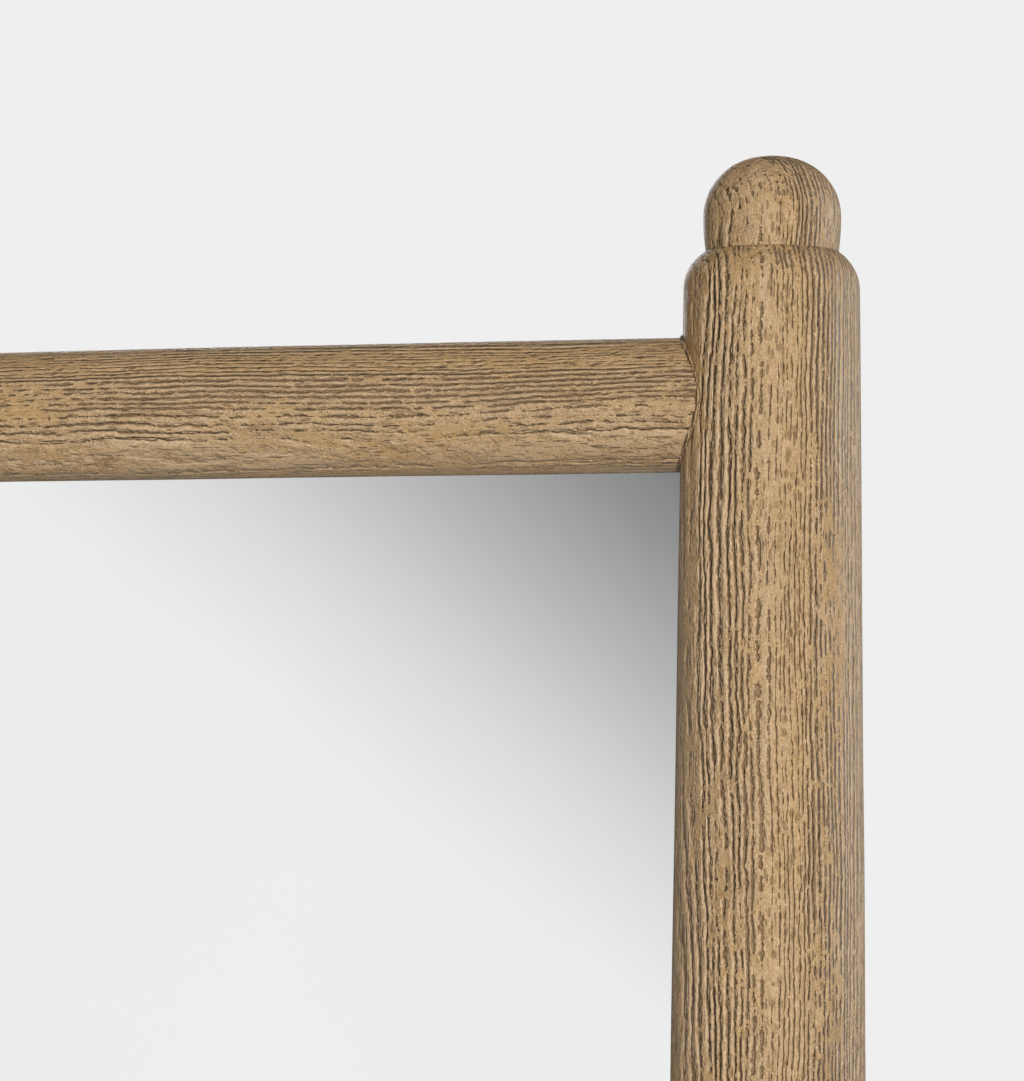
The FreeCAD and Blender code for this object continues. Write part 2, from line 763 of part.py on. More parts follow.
def build_stand():
    felts = []
    foot_seat = "foot_axis_height - foot_bolt_seat"
    washer_z = f"{foot_seat} - foot_washer_thickness"
    for side, sign, degrees in (("left", "0 - ", 180), ("right", "", 0)):
        x = sign + UPRIGHT_AXIS
        upright(f"upright_{side}", x, degrees)
        finial(f"upright_finial_{side}", x, "pivot_height + upright_rise")
        foot(f"foot_{side}", x)
        tube(f"upright_insert_{side}", "insert_radius", "foot_bolt_radius", "insert_length", x, UPRIGHT_BASE)
        tube(f"foot_washer_{side}", "foot_washer_radius", WASHER_BORE, "foot_washer_thickness", x, washer_z)
        socket_bolt(f"foot_bolt_{side}", "foot_bolt", x, washer_z, 0)
        bolt_x = f"{sign}({UPRIGHT_AXIS} + bolt_head_depth)"
        socket_bolt(f"stretcher_bolt_{side}", "bolt", bolt_x, "stretcher_height", degrees - 90)
        barrel_nut(f"barrel_nut_{side}", f"{sign}({UPRIGHT_AXIS} - rail_housing - barrel_inset)")
        for end, y in (("front", "0 - pad_offset"), ("back", "pad_offset")):
            bun_foot(f"bun_foot_{end}_{side}", x, y)
            felts.append(rod(f"felt_{end}_{side}", "felt_radius", "felt_thickness", x, y))
    stretcher()
    group("felt_pads", felts)


# ---------------------------------------------------------------- checks and export


def check_document():
    """Stops if any object failed or any node's shape is empty or invalid."""
    DOC.recompute()
    failed = [o.Name for o in DOC.Objects if {"Invalid", "Error"} & set(o.State)]
    if failed:
        raise RuntimeError(f"failed objects: {failed}")
    for node in NODES:
        if node.Shape.isNull() or not node.Shape.isValid() or not node.Shape.Solids:
            raise RuntimeError(f"{node.Label} has no valid solid")


def export_nodes():
    os.makedirs("parts", exist_ok=True)
    for node in NODES:
        node.Shape.exportStep(os.path.join("parts", node.Label + ".step"))


fill_sheet()
build_frame()
build_pivots()
build_stand()
check_document()
export_nodes()
print(f"{len(NODES)} nodes")
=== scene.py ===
"""Cheval floor mirror: turned oak pieces, finishes, pale studio and camera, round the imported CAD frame."""

import json
import math

import bmesh
import bpy
import numpy as np
from mathutils import Matrix, Vector


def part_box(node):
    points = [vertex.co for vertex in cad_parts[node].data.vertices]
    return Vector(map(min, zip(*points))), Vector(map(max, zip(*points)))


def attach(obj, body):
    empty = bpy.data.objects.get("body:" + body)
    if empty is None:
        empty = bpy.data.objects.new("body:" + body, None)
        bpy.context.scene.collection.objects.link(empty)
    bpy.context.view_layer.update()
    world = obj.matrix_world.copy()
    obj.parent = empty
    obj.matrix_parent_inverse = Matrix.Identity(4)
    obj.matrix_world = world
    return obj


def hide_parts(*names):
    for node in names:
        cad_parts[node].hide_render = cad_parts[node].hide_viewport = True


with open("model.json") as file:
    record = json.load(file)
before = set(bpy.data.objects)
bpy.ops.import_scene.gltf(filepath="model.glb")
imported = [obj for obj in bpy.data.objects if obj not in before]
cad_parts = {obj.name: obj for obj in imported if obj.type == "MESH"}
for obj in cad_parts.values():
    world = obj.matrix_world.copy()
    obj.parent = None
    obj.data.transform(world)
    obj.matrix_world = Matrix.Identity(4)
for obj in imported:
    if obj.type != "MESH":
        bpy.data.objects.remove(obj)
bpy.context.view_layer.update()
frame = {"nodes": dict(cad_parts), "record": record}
NODES = frame["nodes"]
SCENE = bpy.context.scene
MM = 0.001

# ---------------------------------------------------------------- sizes, in millimetres

STILE_RADIUS, STILE_END, SEAT_RADIUS = 28.3, 24.0, 18.75
STILE_HALF, SHOULDER_DROP, SHOULDER_ARC = 745.0, 10.0, 12.15
STILE_LIP, RAIL_LIP, SETBACK = 14.0, 8.0, 1.0
RAIL_RADIUS = 18.4
DOME_BASE, DOME_RADIUS, DOME_EQUATOR, CROWN_SPAN, CROWN_ARC = 18.05, 18.75, 9.8, 6.3, 27.0


def middle(node):
    """The middle of a CAD node's box."""
    low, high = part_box(node)
    return (low + high) / 2


# ---------------------------------------------------------------- node trees


def srgb(r, g, b):
    """A display colour of 0-255 numbers, as linear light."""
    values = [c / 255 for c in (r, g, b)]
    return tuple(c / 12.92 if c <= 0.04045 else ((c + 0.055) / 1.055) ** 2.4 for c in values) + (1.0,)


class Tree:
    """Short names for the shader nodes used here. A value may be a number, a tuple or a socket."""

    def __init__(self, tree):
        self.tree = tree

    def node(self, kind, **settings):
        made = self.tree.nodes.new(kind)
        for name, value in settings.items():
            setattr(made, name, value)
        return made

    def feed(self, socket, value):
        if isinstance(value, bpy.types.NodeSocket):
            self.tree.links.new(value, socket)
        else:
            socket.default_value = value

    def math(self, operation, a, b=0.0, c=0.0, clamp=False):
        made = self.node("ShaderNodeMath", operation=operation, use_clamp=clamp)
        for socket, value in zip(made.inputs, (a, b, c)):
            self.feed(socket, value)
        return made.outputs[0]

    def add(self, a, b):
        return self.math("ADD", a, b)

    def mul(self, a, b):
        return self.math("MULTIPLY", a, b)

    def madd(self, a, b, c):
        return self.math("MULTIPLY_ADD", a, b, c)

    def split(self, vector):
        made = self.node("ShaderNodeSeparateXYZ")
        self.feed(made.inputs[0], vector)
        return made.outputs[0], made.outputs[1], made.outputs[2]

    def join(self, x, y, z):
        made = self.node("ShaderNodeCombineXYZ")
        for socket, value in zip(made.inputs, (x, y, z)):
            self.feed(socket, value)
        return made.outputs[0]

    def stretch(self, vector, x, y, z):
        """The vector with each axis divided by a length."""
        made = self.node("ShaderNodeVectorMath", operation="MULTIPLY")
        self.feed(made.inputs[0], vector)
        made.inputs[1].default_value = (1 / x, 1 / y, 1 / z)
        return made.outputs[0]

    def noise(self, vector, detail=2.0, rough=0.5, scale=1.0):
        made = self.node("ShaderNodeTexNoise")
        self.feed(made.inputs["Vector"], vector)
        made.inputs["Scale"].default_value = scale
        made.inputs["Detail"].default_value = detail
        made.inputs["Roughness"].default_value = rough
        return made.outputs["Fac"]

    def cells(self, vector):
        """Distance to the nearest of scattered points, one to each unit cell."""
        made = self.node("ShaderNodeTexVoronoi")
        self.feed(made.inputs["Vector"], vector)
        made.inputs["Scale"].default_value = 1.0
        return made.outputs["Distance"]

    def step(self, value, low, high, start=0.0, end=1.0):
        """Smooth step from start to end as the value goes from low to high."""
        made = self.node("ShaderNodeMapRange", interpolation_type="SMOOTHSTEP")
        for socket, given in zip(made.inputs, (value, low, high, start, end)):
            self.feed(socket, given)
        return made.outputs[0]

    def mix(self, factor, a, b):
        made = self.node("ShaderNodeMix", data_type="RGBA", clamp_factor=True)
        for index, value in ((0, factor), (6, a), (7, b)):
            self.feed(made.inputs[index], value)
        return made.outputs[2]


def material(name, metallic=0.0, specular=0.5):
    """A new material with its Principled shader and Object coordinates."""
    made = bpy.data.materials.new(name)
    made.use_nodes = True
    tree = Tree(made.node_tree)
    shader = made.node_tree.nodes["Principled BSDF"]
    shader.inputs["Metallic"].default_value = metallic
    shader.inputs["Specular IOR Level"].default_value = specular
    coordinates = tree.node("ShaderNodeTexCoord").outputs["Object"]
    return made, tree, shader, coordinates


def bump(tree, shader, height, distance):
    made = tree.node("ShaderNodeBump")
    made.inputs["Strength"].default_value = 1.0
    made.inputs["Distance"].default_value = distance
    tree.feed(made.inputs["Height"], height)
    tree.feed(shader.inputs["Normal"], made.outputs[0])


# ---------------------------------------------------------------- oak

PALE_OAK, RIDGE = srgb(218, 192, 157), srgb(198, 170, 134)
TAN, GOLD = srgb(176, 145, 105), srgb(175, 139, 89)
UMBER, GROOVE, PORE = srgb(138, 108, 73), srgb(130, 101, 70), srgb(92, 69, 47)

LINE_SPACING = 1.42  # millimetres between lines of pores
GROOVE_EDGE, VALLEY = 0.09, 0.26  # a groove's soft edge and the hollow beside it, as shares of that spacing
RELIEF = 0.62  # millimetres of bump for one unit of height


def oak_group():
    """Brushed, weathered oak.

    Vector is in millimetres: X across the rings, Y across the rays and Z along the grain. Flat is how
    nearly the surface lies along the rings and Radial how nearly along the rays, each from 0 to 1.
    """
    group = bpy.data.node_groups.new("brushed_oak", "ShaderNodeTree")
    face = group.interface
    face.new_socket("Vector", in_out="INPUT", socket_type="NodeSocketVector")
    for name in ("Pith", "Bare", "Flat", "Radial"):
        face.new_socket(name, in_out="INPUT", socket_type="NodeSocketFloat")
    face.new_socket("Color", in_out="OUTPUT", socket_type="NodeSocketColor")
    face.new_socket("Roughness", in_out="OUTPUT", socket_type="NodeSocketFloat")
    face.new_socket("Height", in_out="OUTPUT", socket_type="NodeSocketFloat")
    t = Tree(group)
    vector, pith, bare, flat, radial = t.node("NodeGroupInput").outputs[:5]
    x, y, z = t.split(vector)

    # rings about a pith to one side, wandering along the grain
    outward = t.add(x, pith)
    ring = t.math("SUBTRACT", t.math("SQRT", t.add(t.mul(outward, outward), t.mul(y, y))), pith)
    ring = t.madd(t.noise(t.stretch(vector, 45, 45, 210), 1.0), 9.0, ring)
    ring = t.madd(t.noise(t.stretch(vector, 6, 6, 20), 2.0, 0.6), 1.9, ring)
    ring = t.madd(t.noise(t.stretch(vector, 1.3, 1.3, 2.6), 1.0), 0.62, ring)
    crowd = t.noise(t.stretch(t.join(ring, 0.0, 0.0), 7, 7, 7), 1.0)
    phase = t.madd(crowd, 3.0, t.mul(ring, 1 / LINE_SPACING))
    line = t.math("FLOOR", phase)
    off_line = t.math("ABSOLUTE", t.math("SUBTRACT", t.math("FRACT", phase), 0.5))
    across = t.math("SQRT", t.math("SUBTRACT", 1.0, t.mul(flat, flat), clamp=True))

    ladder = t.step(radial, 0.955, 0.99)

    # where a line's pores are open: dashes of their own on every line, in patches
    patch = t.noise(t.stretch(vector, 12, 12, 70), 2.0, 0.55)
    dash = t.noise(t.join(t.mul(line, 5.37), t.mul(y, 1 / 5), t.mul(z, 1 / 5.5)), 4.0, 0.74)
    patchy = t.add(dash, t.mul(t.math("SUBTRACT", patch, 0.5), 0.70))
    open_pores = t.step(patchy, t.add(bare, 0.38), t.add(bare, 0.56))
    open_pores = t.mul(open_pores, t.madd(ladder, -0.55, 1.0))
    ragged = t.noise(t.stretch(vector, 0.7, 0.7, 1.5), 2.0, 0.6)
    beads = t.noise(t.stretch(vector, 0.6, 0.6, 0.9), 1.0)
    reach = t.mul(t.mul(open_pores, across), t.madd(ragged, 0.62, -0.12))
    groove = t.math("MULTIPLY", t.math("SUBTRACT", reach, off_line), 1 / GROOVE_EDGE, clamp=True)
    wide = t.add(t.mul(open_pores, VALLEY), reach)
    valley = t.math("MULTIPLY", t.math("SUBTRACT", wide, off_line), 1 / VALLEY, clamp=True)
    # a pale band just outside each open groove, used below as a painted highlight on the groove's edge
    edge_highlight_rise = t.step(off_line, reach, t.add(reach, 0.09))
    edge_highlight_fall = t.step(off_line, t.add(reach, 0.10), t.add(reach, 0.24), 1.0, 0.0)
    lip = t.mul(t.mul(edge_highlight_rise, edge_highlight_fall), open_pores)

    # single pores where the face lies along a ring, in clusters, and finer ones everywhere
    tubes = t.cells(t.join(t.mul(ring, 1 / 1.5), t.mul(y, 1 / 1.25), t.mul(z, 1 / 17)))
    cluster = t.mul(t.step(patchy, t.add(bare, 0.46), t.add(bare, 0.60)), t.step(flat, 0.55, 0.85))
    tubes = t.mul(t.step(tubes, 0.17, 0.30, 1.0, 0.0), cluster)
    fine = t.cells(t.stretch(vector, 1.05, 1.05, 5.5))
    fine_open = t.step(t.noise(t.stretch(vector, 8, 8, 30), 2.0), 0.38, 0.54)
    fine = t.mul(t.step(fine, 0.16, 0.32, 1.0, 0.0), fine_open)
    fibre = t.noise(t.stretch(vector, 0.34, 0.34, 7), 3.0, 0.62)
    specks = t.step(t.cells(t.stretch(vector, 1.9, 1.9, 2.6)), 0.07, 0.13, 1.0, 0.0)

    # medullary rays: a ladder of small lumps down the face that lies along them
    lump_space = t.join(t.mul(ring, 1 / 2.2), t.mul(y, 1 / 4), t.mul(z, 1 / 3.8))
    lumps = t.cells(lump_space)
    rung = t.mul(t.step(lumps, 0.06, 0.40, 1.0, 0.0), ladder)

    # sanded and brushed tooth, finer than a pore
    grit = t.noise(t.stretch(vector, 0.34, 0.34, 0.62), 2.0, 0.7)
    knurl = t.noise(t.stretch(vector, 1.4, 1.4, 3.4), 3.0, 0.6)

    # colour: gold where the face is smooth, pale on ridges beside open pores
    broad = t.noise(t.stretch(vector, 16, 16, 95), 3.0, 0.6)
    tint = t.noise(t.stretch(vector, 4, 4, 24), 3.0, 0.65)
    colour = t.mix(t.step(broad, 0.36, 0.64), GOLD, TAN)
    worn = t.mul(open_pores, t.step(off_line, 0.18, 0.40))
    colour = t.mix(t.mul(worn, 0.62), colour, RIDGE)
    colour = t.mix(t.step(tint, 0.52, 0.72, 0.0, 0.40), colour, RIDGE)
    colour = t.mix(t.step(tint, 0.30, 0.47, 0.45, 0.0), colour, UMBER)
    colour = t.mix(t.mul(ladder, 0.45), colour, GOLD)
    colour = t.mix(t.step(fibre, 0.56, 0.74, 0.0, 0.28), colour, RIDGE)
    colour = t.mix(t.step(fibre, 0.28, 0.46, 0.34, 0.0), colour, UMBER)
    colour = t.mix(t.step(knurl, 0.54, 0.72, 0.0, 0.35), colour, RIDGE)
    colour = t.mix(t.step(knurl, 0.30, 0.48, 0.50, 0.0), colour, UMBER)
    colour = t.mix(t.step(grit, 0.30, 0.52, 0.75, 0.0), colour, UMBER)
    colour = t.mix(t.step(grit, 0.52, 0.72, 0.0, 0.50), colour, PALE_OAK)
    colour = t.mix(t.mul(rung, 0.62), colour, GROOVE)
    # painted shade: umber in the hollow beside each open groove
    colour = t.mix(t.mul(valley, 0.46), colour, UMBER)
    # painted highlight: pale band on the edge just outside each open groove
    colour = t.mix(t.mul(lip, 0.50), colour, PALE_OAK)
    colour = t.mix(t.mul(fine, 0.70), colour, GROOVE)
    colour = t.mix(t.mul(t.math("MAXIMUM", groove, tubes), t.madd(beads, 0.9, 0.12)), colour, GROOVE)
    deep = t.mul(t.math("MAXIMUM", groove, tubes), t.step(beads, 0.50, 0.62))
    colour = t.mix(t.mul(deep, 0.45), colour, PORE)
    colour = t.mix(t.mul(specks, t.step(dash, 0.55, 0.75, 0.0, 0.55)), colour, PALE_OAK)

    height = t.madd(groove, -0.80, t.mul(valley, -0.55))
    height = t.madd(tubes, -0.80, height)
    height = t.madd(fine, -0.45, height)
    height = t.madd(rung, -0.75, height)
    height = t.madd(t.mul(open_pores, t.step(off_line, 0.0, 0.46)), 0.60, height)
    tooth = t.madd(fibre, 0.16, t.mul(grit, 0.12))
    tooth = t.madd(knurl, 1.05, tooth)
    tooth = t.madd(t.noise(t.stretch(vector, 3.0, 3.0, 14), 2.0), 0.60, tooth)
    height = t.madd(t.step(flat, 0.40, 0.85, 1.0, 0.22), tooth, height)

    rough = t.madd(fibre, 0.16, t.madd(broad, 0.18, 0.36))
    rough = t.madd(groove, 0.25, rough)

    result = t.node("NodeGroupOutput")
    for socket, value in zip(result.inputs, (colour, rough, height)):
        t.feed(socket, value)
    return group


OAK = oak_group()


def oak(name, origin, grain, radial_face, pith=85.0, bare=0.0, joint_grime_and_shade=(), seed=0):
    """Oak for one piece.

    The grain runs along one axis, and radial_face is the side where the rays lie flat. A seam is
    (point, reach): within about that many metres of the point the finish is darker, partly as grime and
    partly as painted shade in the crease where the parts meet.
    """
    made, t, shader, coordinates = material(name, specular=0.42)
    normal = t.node("ShaderNodeTexCoord").outputs["Normal"]
    grain = Vector(grain).normalized()
    rays = (Vector(radial_face) - grain * grain.dot(Vector(radial_face))).normalized()
    rings = rays.cross(grain)
    turn = Matrix((rings, rays, grain))
    jump = Vector((0.0, 0.0, 900.0 * seed))
    place = t.node("ShaderNodeMapping", vector_type="POINT")
    place.inputs["Location"].default_value = jump - turn @ Vector(origin) / MM
    place.inputs["Rotation"].default_value = turn.to_euler("XYZ")
    place.inputs["Scale"].default_value = (1 / MM,) * 3
    t.feed(place.inputs["Vector"], coordinates)
    wood = t.node("ShaderNodeGroup", node_tree=OAK)
    t.feed(wood.inputs["Vector"], place.outputs[0])
    wood.inputs["Pith"].default_value = pith
    wood.inputs["Bare"].default_value = bare
    for socket, direction in (("Flat", rings), ("Radial", rays)):
        lean = t.node("ShaderNodeVectorMath", operation="DOT_PRODUCT")
        t.feed(lean.inputs[0], normal)
        lean.inputs[1].default_value = direction
        t.feed(wood.inputs[socket], t.math("ABSOLUTE", lean.outputs["Value"]))
    colour = wood.outputs["Color"]
    # darker finish near each seam: partly grime, partly painted shade in the crease where the parts meet
    for point, reach in joint_grime_and_shade:
        away = t.node("ShaderNodeVectorMath", operation="DISTANCE")
        t.feed(away.inputs[0], coordinates)
        away.inputs[1].default_value = point
        uneven_reach = t.noise(t.stretch(coordinates, 0.006, 0.006, 0.006), 3.0, 0.6)
        near = t.madd(uneven_reach, reach * 0.35, away.outputs["Value"])
        colour = t.mix(t.step(near, reach * 0.6, reach * 1.15, 0.64, 0.0), colour, UMBER)
    t.feed(shader.inputs["Base Color"], colour)
    t.feed(shader.inputs["Roughness"], wood.outputs["Roughness"])
    bump(t, shader, wood.outputs["Height"], RELIEF * MM)
    return made


# ---------------------------------------------------------------- turned meshes


def lattice(points, spacing, seed):
    """Smooth value noise from -1 to 1 at points in millimetres."""
    at = points / np.array(spacing, float)
    cell = np.floor(at)
    part = at - cell
    part = part * part * (3 - 2 * part)
    total = np.zeros(len(points))
    for corner in range(8):
        bit = np.array([corner & 1, corner >> 1 & 1, corner >> 2 & 1], float)
        wave = np.sin((cell + bit) @ np.array([127.1, 311.7, 74.7]) + seed * 19.19) * 43758.5453
        share = np.abs(1 - bit - part).prod(axis=1)
        total += share * (wave - np.floor(wave))
    return total * 2 - 1


def arc(a, b, radius, count):
    """Points of the arc that turns left from a to b, without the last one."""
    a, b = np.array(a, float), np.array(b, float)
    chord = b - a
    length = np.hypot(*chord)
    left = np.array([-chord[1], chord[0]]) / length
    centre = (a + b) / 2 + left * math.sqrt(radius**2 - length**2 / 4)
    first, last = (math.atan2(*(p - centre)[::-1]) for p in (a, b))
    if last < first:
        last += 2 * math.pi
    angles = np.linspace(first, last, count + 1)[:-1]
    return [tuple(centre + radius * np.array([math.cos(v), math.sin(v)])) for v in angles]


def stile_profile(spacing):
    """(radius, height) from the lower seat to the upper one."""
    wall = STILE_HALF - SHOULDER_DROP
    swell = (wall**2 + (STILE_RADIUS - STILE_END) ** 2) / (2 * (STILE_RADIUS - STILE_END))
    heights = np.linspace(0, wall, round(wall / spacing) + 1)[:-1]
    half = [(STILE_RADIUS - swell + math.sqrt(swell**2 - h**2), h) for h in heights]
    half += arc((STILE_END, wall), (SEAT_RADIUS, STILE_HALF), SHOULDER_ARC, 8)
    half += [(SEAT_RADIUS, STILE_HALF), (SEAT_RADIUS * 0.8, STILE_HALF + 0.01)]
    return [(r, -h) for r, h in half[:0:-1]] + half


def dome_profile():
    """(radius, height) of a finial's dome above its seat."""
    cosine = math.sqrt(1 - (CROWN_SPAN / CROWN_ARC) ** 2)
    corner = (DOME_RADIUS - CROWN_SPAN) / (1 - CROWN_SPAN / CROWN_ARC)
    crown = DOME_EQUATOR + corner * cosine
    tip = crown + CROWN_ARC * (1 - cosine)
    side = (DOME_EQUATOR**2 + (DOME_RADIUS - DOME_BASE) ** 2) / (2 * (DOME_RADIUS - DOME_BASE))
    path = [(DOME_BASE * 0.6, -0.01)]
    path += arc((DOME_BASE, 0), (DOME_RADIUS, DOME_EQUATOR), side, 12)
    path += arc((DOME_RADIUS, DOME_EQUATOR), (CROWN_SPAN, crown), corner, 30)
    path += arc((CROWN_SPAN, crown), (0, tip), CROWN_ARC, 8)
    return path + [(0.35, tip)]


def section(radius, columns, notch):
    """One ring of a turned piece, as (p, q): p towards the opening, q towards the back.

    notch is (lip, setback, whether this ring is cut).
    """
    if not notch:
        angles = np.linspace(0, 2 * math.pi, columns, endpoint=False)
        return np.stack([np.cos(angles), np.sin(angles)], axis=1) * radius
    lip, setback, is_cut = notch
    inside = columns // 12 * 2
    low, high = math.asin(setback / radius), math.acos(lip / radius)
    outer = np.linspace(high, low + 2 * math.pi, columns - inside)
    ring = np.stack([np.cos(outer), np.sin(outer)], axis=1) * radius
    if is_cut:
        corners = [ring[-1], np.array([lip, setback]), ring[0]]
        shares = np.linspace(0, 2, inside + 2)[1:-1]
        path = [
            corners[int(s)] * (1 - s % 1) + corners[min(int(s) + 1, 2)] * (s % 1) for s in shares
        ]
        return np.vstack([ring, path])
    inner = np.linspace(low, high, inside + 2)[1:-1]
    return np.vstack([ring, np.stack([np.cos(inner), np.sin(inner)], axis=1) * radius])


def turned(name, profile, origin, axis, opening, columns, notch=None, seed=0, relief=1.0):
    """A lathe-turned piece with hand-worked unevenness and raised grain in its surface.

    axis is the direction of growing height and opening the direction of p. notch is (lip, setback,
    half height).
    """
    axis, opening = Vector(axis), Vector(opening)
    back = Vector((0, 1, 0)) if notch else axis.cross(opening)
    half = notch[2] if notch else 0.0
    rings = [(radius, height, abs(height) < half) for radius, height in profile]
    for edge in (-half, half) if notch else ():
        radius = float(np.interp(edge, [h for _, h in profile], [r for r, _ in profile]))
        rings += [(radius, edge, True), (radius, edge, False)]
    rings.sort(key=lambda ring: (ring[1], ring[2] == (ring[1] > 0)) if notch else 0)
    flat = np.vstack(
        [section(r, columns, notch and (notch[0], notch[1], is_cut)) for r, _, is_cut in rings]
    )
    heights = np.repeat([h for _, h, _ in rings], columns)
    local = np.column_stack([flat, heights])
    reach = np.hypot(flat[:, 0], flat[:, 1])
    rim = np.repeat([r for r, _, _ in rings], columns)
    skin = (reach > rim * 0.999) & (rim > 2)
    push = 0.10 * lattice(local, (3.4, 3.4, 34), seed + 1) + 0.13 * lattice(local, (9, 9, 60), seed + 2)
    push += 0.16 * lattice(local, (34, 34, 140), seed + 3)
    push = (push - 0.28) * relief * skin
    local[:, :2] *= (1 + push / np.maximum(reach, 1))[:, None]
    turn = np.array([opening, back, axis])
    points = (local @ turn + np.array(origin) / MM) * MM
    count = len(rings)
    grid = np.arange(count * columns).reshape(count, columns)
    quads = np.stack(
        [grid[:-1], np.roll(grid[:-1], -1, 1), np.roll(grid[1:], -1, 1), grid[1:]], axis=-1
    ).reshape(-1, 4)
    if Vector(opening).cross(back).dot(axis) < 0:
        quads = quads[:, ::-1]
    lids = [tuple(int(i) for i in grid[0][::-1]), tuple(int(i) for i in grid[-1])]
    if Vector(opening).cross(back).dot(axis) < 0:
        lids = [lid[::-1] for lid in lids]
    mesh = bpy.data.meshes.new(name)
    mesh.from_pydata(points.tolist(), [], quads.tolist() + lids)
    mesh.polygons.foreach_set("use_smooth", [True] * len(mesh.polygons))
    mesh.set_sharp_from_angle(angle=math.radians(42))
    mesh.validate()
    piece = bpy.data.objects.new(name, mesh)
    SCENE.collection.objects.link(piece)
    return piece


def finish_piece(piece, body, slot, finish, *nodes):
    piece.data.materials.append(finish)
    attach(piece, body)
    if nodes:
        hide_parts(*nodes)


def filler_bead(name, axis_x, sign, rail_z, up, seed):
    """A thin uneven bead of filler around the front of a rail where it enters a stile.

    All lengths are in millimetres, and heights are above the pivot.
    """
    turns = np.radians(np.linspace(0, 184, 150))
    across = np.column_stack([0 * turns, -np.sin(turns), -up * np.cos(turns)])
    y, z = (across * RAIL_RADIUS + (0, 0, rail_z)).T[1:]
    radius = np.interp(z, *np.array(stile_profile(3.0)).T[::-1])
    inward = np.sqrt(radius**2 - y**2)
    outward = np.column_stack([-sign * inward, y, 0 * y]) / radius[:, None]
    line = np.column_stack([axis_x - sign * inward, y, z])
    along = np.cross(across, outward)
    along /= np.linalg.norm(along, axis=1)[:, None]
    side = np.cross(along, across)
    thick = 0.55 + 0.42 * lattice(line, (2.6, 2.6, 2.6), seed)
    thick += 0.25 * lattice(line, (0.9, 0.9, 0.9), seed + 1)
    taper = np.sin(np.linspace(0.02, math.pi - 0.02, len(turns))) ** 0.35
    thick = np.maximum(thick, 0.12) * taper
    bm = bmesh.new()
    rings = []
    for a in np.linspace(0, 2 * math.pi, 8, endpoint=False):
        rim = (line + thick[:, None] * (math.cos(a) * across + math.sin(a) * side)) * MM
        rings.append([bm.verts.new(Vector(v) + Vector((0, 0, PIVOT))) for v in rim])
    for one, two in zip(rings, rings[1:] + rings[:1]):
        for i in range(len(turns) - 1):
            bm.faces.new((one[i], two[i], two[i + 1], one[i + 1]))
    for end in (0, -1):
        bm.faces.new([ring[end] for ring in rings])
    bmesh.ops.recalc_face_normals(bm, faces=bm.faces)
    mesh = bpy.data.meshes.new(name)
    bm.to_mesh(mesh)
    bm.free()
    mesh.polygons.foreach_set("use_smooth", [True] * len(mesh.polygons))
    piece = bpy.data.objects.new(name, mesh)
    SCENE.collection.objects.link(piece)
    return piece


SEAT_RISE = STILE_HALF * MM
PIVOT = middle("mirror_glass").z
TOP_SEAT, LOW_SEAT = PIVOT + SEAT_RISE, PIVOT - SEAT_RISE
RADIAL = math.radians(23)
FACE = Vector((math.sin(RADIAL), -math.cos(RADIAL), 0))

for side, sign in (("left", -1), ("right", 1)):
    axis_x = middle(f"finial_top_{side}").x
    seed = 3 if sign > 0 else 11
    centre = Vector((axis_x, 0, PIVOT))
    face = Vector((FACE.x * sign, FACE.y, 0))
    rail_z = middle("rail_top").z - PIVOT
    joint = Vector((axis_x - sign * 0.024, 0, middle("rail_top").z))
    low_joint = Vector((joint.x, 0, middle("rail_bottom").z))
    stile = turned(
        f"oak_stile_{side}",
        stile_profile(3.0),
        centre,
        (0, 0, 1),
        (-sign, 0, 0),
        192,
        (STILE_LIP, SETBACK, rail_z / MM - RAIL_LIP),
        seed,
    )
    finish = oak(
        f"oak_{stile.name}",
        centre,
        (0, 0, 1),
        face,
        pith=95 * sign,
        joint_grime_and_shade=((joint, 0.026), (low_joint, 0.026)),
        seed=seed,
    )
    finish_piece(stile, "mirror_frame", "turned_oak", finish, f"stile_{side}")
    for end, up in (("top", 1), ("bottom", -1)):
        height = (middle(f"rail_{end}").z - PIVOT) / MM
        bead = filler_bead(f"oak_filler_{end}_{side}", axis_x / MM, sign, height, up, seed + 5 * up)
        finish_piece(bead, "mirror_frame", "turned_oak", finish)
    for end, seat, up in (("top", TOP_SEAT, 1), ("bottom", LOW_SEAT, -1)):
        name = f"finial_{end}_{side}"
        at = Vector((axis_x, 0, seat))
        dome = turned(
            f"oak_{name}", dome_profile(), at, (0, 0, up), (1, 0, 0), 144, None, seed + up, 0.8
        )
        finish = oak(
            f"oak_{name}", at, (0, 0, 1), face, pith=60, bare=0.05, joint_grime_and_shade=((at, 0.021),), seed=seed + 2 + up
        )
        finish_piece(dome, "mirror_frame", "turned_oak", finish, name)

for end, up in (("top", 1), ("bottom", -1)):
    centre = middle(f"rail_{end}")
    reach = middle("finial_top_right").x - 0.012
    count = round(2 * reach / 0.003)
    profile = [(RAIL_RADIUS, h) for h in np.linspace(-reach, reach, count) / MM]
    rail = turned(
        f"oak_rail_{end}",
        profile,
        centre,
        (1, 0, 0),
        (0, 0, -up),
        144,
        (RAIL_LIP, SETBACK, 256.0),
        7 * up,
    )
    finish = oak(
        f"oak_rail_{end}",
        centre,
        (1, 0, 0),
        (0, -0.75, 0.66),
        pith=70,
        joint_grime_and_shade=(((0.245, 0, centre.z), 0.022), ((-0.245, 0, centre.z), 0.022)),
        seed=21 + up,
    )
    finish_piece(rail, "mirror_frame", "turned_oak", finish, f"rail_{end}")


# ---------------------------------------------------------------- finishes for the CAD pieces


def dress(node, finish):
    NODES[node].data.materials.clear()
    NODES[node].data.materials.append(finish)


